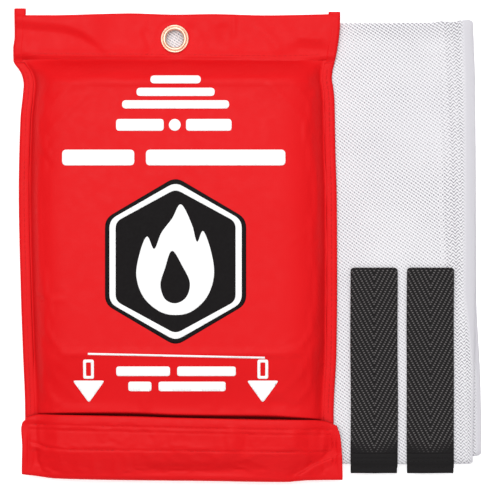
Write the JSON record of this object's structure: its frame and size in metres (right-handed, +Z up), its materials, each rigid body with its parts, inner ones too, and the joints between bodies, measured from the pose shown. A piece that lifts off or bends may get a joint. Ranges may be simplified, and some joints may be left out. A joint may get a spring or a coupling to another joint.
{
  "type": "fire blanket",
  "caption": "Folded woven glass-fibre fire blanket with black webbing pull loops, beside its soft red storage pouch with a hanging eyelet and a closing flap.",
  "frame": {"origin": "centre of the whole set's footprint, on the surface that it lies on", "axes": "+Z up from that surface, +Y towards the pouch's header and eyelet, +X towards the pull loops' side"},
  "size_m": [0.2648, 0.2672, 0.0245],
  "materials": {
    "glass_cloth": "matte",
    "black_webbing": "matte",
    "black_thread": "matte",
    "red_coated_fabric": "satin",
    "red_thread": "matte",
    "red_tape": "matte",
    "hook_and_loop": "matte",
    "eyelet_metal": "polished",
    "white_print": "satin",
    "black_print": "satin"
  },
  "bodies": {
    "top_leaf": {"blanket_leaf_1": "glass_cloth", "strap_tab_left": "black_webbing", "strap_tab_right": "black_webbing", "strap_tab_stitching": "black_thread"},
    "second_leaf": {"blanket_leaf_2": "glass_cloth"},
    "third_leaf": {"blanket_leaf_3": "glass_cloth"},
    "fourth_leaf": {"blanket_leaf_4": "glass_cloth"},
    "left_pull_loop": {"strap_loop_left": "black_webbing"},
    "right_pull_loop": {"strap_loop_right": "black_webbing"},
    "pouch": {"pouch_back_panel": "red_coated_fabric", "pouch_front_panel": "red_coated_fabric", "pouch_header_cover": "red_coated_fabric", "header_seam_stitching": "red_thread", "header_end_tape_left": "red_tape", "header_end_tape_right": "red_tape", "side_seam_tape_left": "red_tape", "side_seam_tape_right": "red_tape", "side_seam_stitching": "red_thread", "hanging_eyelet": "eyelet_metal", "eyelet_washer": "eyelet_metal", "mouth_hem": "red_tape", "loop_strip": "hook_and_loop", "print_badge_ground": "black_print", "print_badge_ring_and_flame": "white_print", "print_emblem": "white_print", "print_word_bars": "white_print", "print_pull_pictograms": "white_print"},
    "flap": {"closing_flap": "red_coated_fabric", "hook_strip": "hook_and_loop", "flap_stitching": "red_thread"}
  },
  "joints": [
    {"name": "unfold_second_leaf", "type": "hinge", "parent": "top_leaf", "child": "second_leaf", "pos_m": [0.12955, 0, 0.0077], "axis": [0, -1, 0], "range_deg": [0, 180]},
    {"name": "unfold_third_leaf", "type": "hinge", "parent": "second_leaf", "child": "third_leaf", "pos_m": [-0.1202, 0, 0.0051], "axis": [0, 1, 0], "range_deg": [0, 180]},
    {"name": "unfold_fourth_leaf", "type": "hinge", "parent": "third_leaf", "child": "fourth_leaf", "pos_m": [0.1325, 0, 0.0025], "axis": [0, -1, 0], "range_deg": [0, 180]},
    {"name": "fold_left_pull_loop", "type": "hinge", "parent": "top_leaf", "child": "left_pull_loop", "pos_m": [0.0714, -0.11775, 0.013], "axis": [1, 0, 0], "range_deg": [0, 180]},
    {"name": "fold_right_pull_loop", "type": "hinge", "parent": "top_leaf", "child": "right_pull_loop", "pos_m": [0.1033, -0.11775, 0.013], "axis": [1, 0, 0], "range_deg": [0, 180]},
    {"name": "lift_pouch", "type": "slide", "parent": "top_leaf", "child": "pouch", "axis": [0, 0, 1], "range_m": [0, 0.3]},
    {"name": "open_flap", "type": "hinge", "parent": "pouch", "child": "flap", "pos_m": [-0.0371, -0.1323, 0.0113], "axis": [1, 0, 0], "range_deg": [0, 180]}
  ],
  "couplings": [
    {"joint": "unfold_third_leaf", "follows": "unfold_second_leaf", "ratio": 1},
    {"joint": "unfold_fourth_leaf", "follows": "unfold_second_leaf", "ratio": 1}
  ]
}
